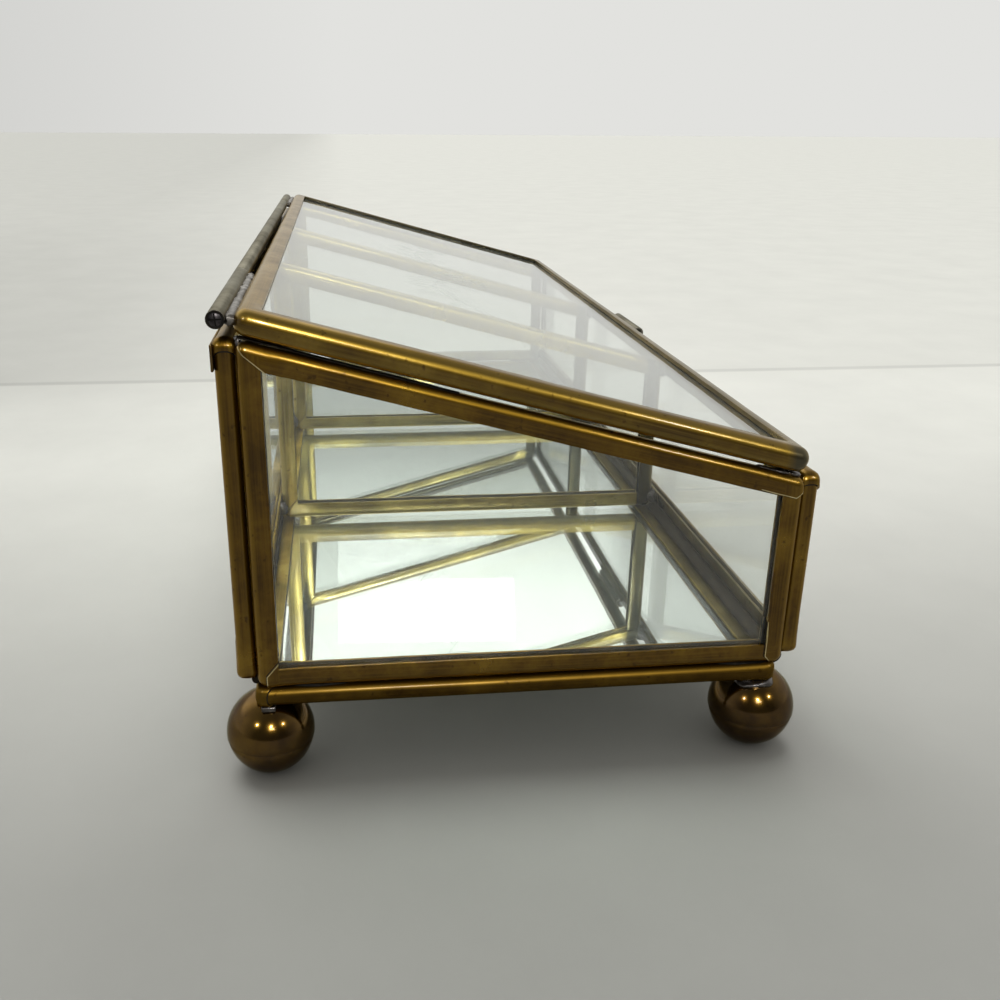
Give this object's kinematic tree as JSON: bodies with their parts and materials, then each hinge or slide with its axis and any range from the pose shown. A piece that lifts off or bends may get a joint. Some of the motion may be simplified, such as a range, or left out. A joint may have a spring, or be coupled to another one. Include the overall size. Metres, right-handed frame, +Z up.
{
  "type": "glass casket box",
  "caption": "Slant-topped glass casket in a brass channel frame, with a mirrored floor, glass dividers, ball feet and a glass lid hinged along the back.",
  "frame": {"origin": "under the middle of the whole box, on the surface that its feet stand on", "axes": "+X along the hinge, to the right of someone facing the low front; +Y from the low front to the tall hinged back; +Z up"},
  "size_m": [0.2104, 0.09, 0.0718],
  "materials": {
    "channel_brass": "aged, brushed along the channel, with darker lacquer in the folds",
    "lid_brass": "aged, rubbed brighter along its rounded edge",
    "hinge_brass": "aged, dull",
    "foot_brass": "dark antique brass, glossy",
    "clear_glass": "clear",
    "lid_glass": "clear, with a fine engraved sprig",
    "floor_mirror": "silvered glass",
    "solder": "dull, lumpy",
    "pin_steel": "dark"
  },
  "bodies": {
    "box": {"left_end_glass": "clear_glass", "left_end_channel_bottom": "channel_brass", "left_end_channel_back": "channel_brass", "left_end_channel_top": "channel_brass", "left_end_channel_front": "channel_brass", "right_end_glass": "clear_glass", "right_end_channel_bottom": "channel_brass", "right_end_channel_back": "channel_brass", "right_end_channel_top": "channel_brass", "right_end_channel_front": "channel_brass", "front_glass": "clear_glass", "front_channel_bottom": "channel_brass", "front_channel_right": "channel_brass", "front_channel_top": "channel_brass", "front_channel_left": "channel_brass", "back_glass": "clear_glass", "back_channel_bottom": "channel_brass", "back_channel_right": "channel_brass", "back_channel_top": "channel_brass", "back_channel_left": "channel_brass", "floor_mirror": "floor_mirror", "floor_channel_front": "channel_brass", "floor_channel_right": "channel_brass", "floor_channel_back": "channel_brass", "floor_channel_left": "channel_brass", "left_divider_glass": "clear_glass", "left_divider_channel_bottom": "channel_brass", "left_divider_channel_back": "channel_brass", "left_divider_channel_top": "channel_brass", "left_divider_channel_front": "channel_brass", "right_divider_glass": "clear_glass", "right_divider_channel_bottom": "channel_brass", "right_divider_channel_back": "channel_brass", "right_divider_channel_top": "channel_brass", "right_divider_channel_front": "channel_brass", "foot_front_left": "foot_brass", "foot_front_right": "foot_brass", "foot_back_left": "foot_brass", "foot_back_right": "foot_brass", "foot_solder": "solder", "corner_solder": "solder", "divider_solder": "solder", "hinge_leaf": "hinge_brass", "hinge_pin": "pin_steel"},
    "lid": {"lid_glass": "lid_glass", "lid_channel_front": "lid_brass", "lid_channel_right": "lid_brass", "lid_channel_back": "lid_brass", "lid_channel_left": "lid_brass", "hinge_tube_left": "hinge_brass", "hinge_tube_right": "hinge_brass", "hinge_solder": "solder", "thumb_tab": "hinge_brass"}
  },
  "joints": [
    {"name": "lid_hinge", "type": "hinge", "parent": "box", "child": "lid", "pos_m": [0, 0.04155, 0.07049], "axis": [-1, 0, 0], "range_deg": [0, 110]}
  ]
}
